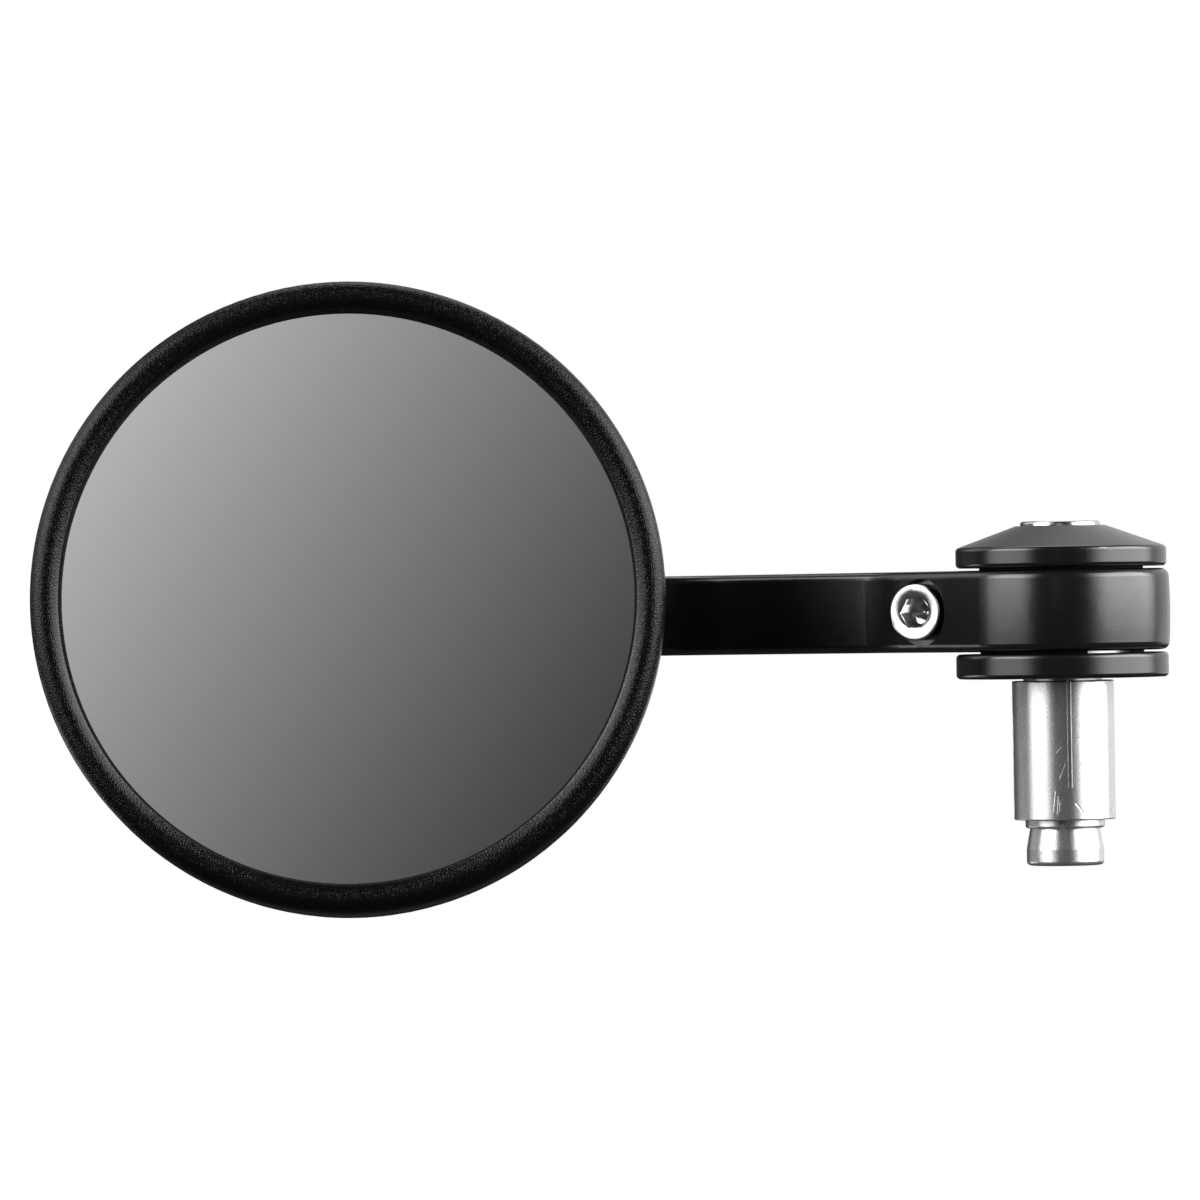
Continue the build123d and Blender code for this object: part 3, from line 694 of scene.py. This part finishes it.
def threaded(node, origin, axis, radius, pitch, start, thread_from):
    """Copy of a CAD bolt whose plain shank, from start on, is made again with a real thread."""
    end = max(along for along, _ in reach(node, origin, axis))
    mesh = bmesh.new()
    mesh.from_mesh(nodes[node].data)
    bmesh.ops.remove_doubles(mesh, verts=mesh.verts, dist=WELD)

    def on_shank(vertex):
        offset = vertex.co - origin
        along = offset.dot(axis)
        return along > start - SLACK and (offset - axis * along).length < radius + SLACK

    plain = [face for face in mesh.faces if all(on_shank(v) for v in face.verts)]
    bmesh.ops.delete(mesh, geom=plain, context="FACES")
    steps = int((end - thread_from) / pitch * THREAD_STEPS)
    stations = [start, thread_from - SLACK]
    stations += [thread_from + (end - thread_from) * i / steps for i in range(steps + 1)]
    place = basis(origin, axis)
    rows = []
    for along in stations:
        row = []
        for i in range(THREAD_SEGMENTS):
            turn = i / THREAD_SEGMENTS
            r = radius
            if along >= thread_from:
                r = thread_radius(radius, pitch, along, turn, thread_from, end)
            row.append(mesh.verts.new(around(place, r, turn, along)))
        rows.append(row)
    skin(mesh, rows, THREAD_SEGMENTS)
    mesh.faces.new(rows[-1])
    bmesh.ops.recalc_face_normals(mesh, faces=mesh.faces)
    data = finished(mesh, node + "_threaded", THREAD_SHARP)
    data.materials.append(STEEL)
    new_piece(node + "_threaded", data, node)


def bearing_face(node, origin, axis, radius):
    """Where the shank of a bolt starts: the far end of what is wider than the shank."""
    return max(along for along, r in reach(node, origin, axis) if r > radius + HEAD_STEP)


def end_centre(node, axis):
    """Middle of the flat at the near end of a turned CAD node."""
    digits, flatness = 7, 0.005 * MM
    spots = {tuple(round(c, digits) for c in vertex.co) for vertex in nodes[node].data.vertices}
    spots = [Vector(spot) for spot in spots]
    near = min(spot.dot(axis) for spot in spots)
    flat = [spot for spot in spots if spot.dot(axis) < near + flatness]
    return sum(flat, Vector()) / len(flat)


mirror_pane()
foam_ring()
stud_start = bearing_face("ball_stud", BALL, HEAD_BACKWARDS, M8_R)
threaded("ball_stud", BALL, HEAD_BACKWARDS, M8_R, M8_PITCH, stud_start, stud_start + STUD_PLAIN)
bolt_start = bearing_face("through_bolt", HUB, DOWN, M8_R)
bolt_end = -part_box("through_bolt")[0].z
threaded("through_bolt", HUB, DOWN, M8_R, M8_PITCH, bolt_start, bolt_end - BOLT_THREAD)
pinch_head = end_centre("pinch_bolt", PINCH_AXIS)
pinch_start = bearing_face("pinch_bolt", pinch_head, PINCH_AXIS, M6_R)
threaded("pinch_bolt", pinch_head, PINCH_AXIS, M6_R, M6_PITCH, pinch_start, pinch_start + PINCH_PLAIN)


# Studio


def square(name, low, high):
    """Flat square mesh between two values of X and Y."""
    mesh = bpy.data.meshes.new(name)
    mesh.from_pydata([(low, low, 0), (high, low, 0), (high, high, 0), (low, high, 0)], [], [(0, 1, 2, 3)])
    return mesh


def glow(name, level):
    """Emission material. level is a function that makes its brightness from X and Y, both from 0 to 1."""
    material = bpy.data.materials.new(name)
    tree = emptied(material)
    place = axes(tree, add(tree, "ShaderNodeTexCoord").outputs["Object"])
    strength = maths(tree, "MAXIMUM", level(tree, place["X"], place["Y"]), ROOM_GLOW)
    light = add(tree, "ShaderNodeEmission", {"Color": grey(1), "Strength": strength})
    add(tree, "ShaderNodeOutputMaterial", {"Surface": light.outputs[0]})
    return material


def light_card(name, centre, facing, size, level):
    """Glowing card that faces a direction. The camera doesn't see it, and it casts no shadow."""
    card = in_scene(name, square(name, 0, 1))
    to_middle = Matrix.Translation((-0.5, -0.5, 0))
    card.matrix_world = basis(centre, facing) @ Matrix.Diagonal((*size, 1, 1)) @ to_middle
    card.visible_camera = False
    card.visible_shadow = False
    card.data.materials.append(glow(name, level))


def soft_box(name, side, angles, foot, power, knee):
    """Tall soft box that fades towards its foot, its top and its upright edges.

    side is -1 on the left and 1 on the right. angles are in degrees to that side of the camera, as seen from
    the hub: where the box starts, is full, begins to fade and ends. knee is its share of power at BOX_KNEE.
    """
    start, full, fade, end = (radians(angle) for angle in angles)
    middle, half = (start + end) / 2, (end - start) / 2
    spot = Vector((side * sin(middle), -cos(middle), 0)) * BOX_DISTANCE
    facing = -spot
    spot.z = (BOX_TOP + foot) / 2
    size = (2 * BOX_DISTANCE * tan(half), BOX_TOP - foot)
    knee_at, bright_at = ((height - foot) / (BOX_TOP - foot) for height in (BOX_KNEE, BOX_BRIGHT))

    def across_at(angle):
        share = (1 + tan(angle - middle) / tan(half)) / 2
        return share if side < 0 else 1 - share

    def level(tree, across, up):
        sides = band(tree, across, across_at(start), across_at(full), across_at(fade), across_at(end))
        low = spread(tree, up, 0, knee * power, 0, knee_at)
        high = spread(tree, up, 0, (1 - knee) * power, knee_at, bright_at)
        top = spread(tree, up, 1, BOX_TOP_SHARE, bright_at, 1)
        return maths(tree, "MULTIPLY", sides, maths(tree, "MULTIPLY", maths(tree, "ADD", low, high), top))

    light_card(name, spot, facing, size, level)


def faded(power):
    """Level of a card that is even in its middle and fades at its edges."""
    limits = (0, CARD_MARGIN, 1 - CARD_MARGIN, 1)

    def level(tree, across, up):
        return maths(tree, "MULTIPLY", band(tree, across, *limits), band(tree, up, *limits), power)

    return level


def fill_cards():
    """Card high behind the part, and one low down, left behind it."""
    height = radians(REAR_HEIGHT)
    rear_at = Vector((BALL.x / 2, REAR_DISTANCE * cos(height), REAR_DISTANCE * sin(height)))
    light_card("rear_soft_box", rear_at, -rear_at, REAR_SIZE, faded(REAR_POWER))
    light_card("low_card", LOW_AT, UP, LOW_SIZE, faded(LOW_POWER))


def fall_of_light(tree, across, up):
    """Grey that falls evenly to the eye, as brightness. The card faces the glass: its X runs to the left."""
    right = maths(tree, "MULTIPLY", spread(tree, across, 1, -1), FALL_ACROSS)
    top = maths(tree, "MULTIPLY", spread(tree, up, -1, 1), FALL_UP)
    return maths(tree, "POWER", maths(tree, "ADD", right, top, FALL_MIDDLE), FALL_GAMMA)


def seen_card():
    """Card that the glass shows to the camera: a plain fall of light from upper left to lower right."""
    glass_low, glass_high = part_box("mirror_glass")
    radius = (glass_high.x - glass_low.x) / 2
    glass_at = Vector((BALL.x, glass_low.y, BALL.z))
    sight = glass_at - CAMERA_AT
    seen = sight.normalized().reflect(HEAD_BACKWARDS)
    angle = 2 * asin(radius / GLASS_CURVE_R) + radius / sight.length
    side = 2 * (SEEN_DISTANCE * tan(angle) + radius)
    light_card("seen_card", glass_at + seen * SEEN_DISTANCE, -seen, (side, side), fall_of_light)


def pale_floor():
    """Floor well below the part: white to the camera, apart from the part's shadow.

    Reflections see it white too where it lies behind the part, to the right, and dark elsewhere.
    """
    floor = in_scene("floor", square("floor", -FLOOR_HALF, FLOOR_HALF))
    floor.location.z = FLOOR_Z
    material = bpy.data.materials.new("pale_floor")
    floor.data.materials.append(material)
    tree = emptied(material)
    coords = add(tree, "ShaderNodeTexCoord").outputs["Object"]
    place = axes(tree, coords)
    distance = vectors(tree, "LENGTH", coords, result="Value")
    far = spread(tree, distance, 0, 1, FLOOR_NEAR, FLOOR_FAR, smooth=True)
    white = add(tree, "ShaderNodeBsdfDiffuse", {"Color": grey(FLOOR_WHITE)})
    lift = add(tree, "ShaderNodeEmission", {"Color": grey(1), "Strength": spread(tree, far, FLOOR_LIFT, 1)})
    lit = add(tree, "ShaderNodeAddShader", {0: white.outputs[0], 1: lift.outputs[0]})
    dark = add(tree, "ShaderNodeBsdfDiffuse", {"Color": grey(FLOOR_DARK)})
    behind, right = (spread(tree, place[axis], 0, 1, FLOOR_NEAR, FLOOR_FAR) for axis in "YX")
    direct, glossy = ray_kinds(tree)
    mirrored = maths(tree, "MULTIPLY", glossy, maths(tree, "MULTIPLY", behind, right))
    seen_white = maths(tree, "MAXIMUM", direct, mirrored)
    either = add(tree, "ShaderNodeMixShader", {0: seen_white, 1: dark.outputs[0], 2: lit.outputs[0]})
    add(tree, "ShaderNodeOutputMaterial", {"Surface": either.outputs[0]})


def studio_world():
    """White to the camera. Reflections see a dim room, with a white wall behind, to the right."""
    world = bpy.data.worlds.new("studio")
    bpy.context.scene.world = world
    tree = emptied(world)
    way = axes(tree, add(tree, "ShaderNodeTexCoord").outputs["Generated"])
    behind = spread(tree, way["Y"], 0, 1, *WALL_BEHIND, smooth=True)
    right = spread(tree, way["X"], 0, 1, *WALL_RIGHT, smooth=True)
    direct, glossy = ray_kinds(tree)
    wall = maths(tree, "MULTIPLY", glossy, maths(tree, "MULTIPLY", behind, right), WALL_GLOW)
    strength = maths(tree, "MAXIMUM", direct, wall, ROOM_GLOW)
    sky = add(tree, "ShaderNodeBackground", {"Color": grey(1), "Strength": strength})
    add(tree, "ShaderNodeOutputWorld", {"Surface": sky.outputs[0]})


def studio_camera():
    """Level camera with a slight lean, at the photograph's viewing angle."""
    data = bpy.data.cameras.new("camera")
    data.lens = CAMERA_LENS
    data.sensor_width = CAMERA_SENSOR
    data.clip_end = CAMERA_SIGHT
    camera = in_scene("camera", data)
    upright = Matrix.Rotation(radians(90), 4, "X")
    lean = Matrix.Rotation(radians(-CAMERA_LEAN), 4, "Z")
    camera.matrix_world = Matrix.Translation(CAMERA_AT) @ upright @ lean
    bpy.context.scene.camera = camera


for box_name, box in SOFT_BOXES.items():
    soft_box(box_name, **box)
fill_cards()
seen_card()
pale_floor()
studio_world()
studio_camera()
bpy.context.scene.view_settings.view_transform = "Standard"
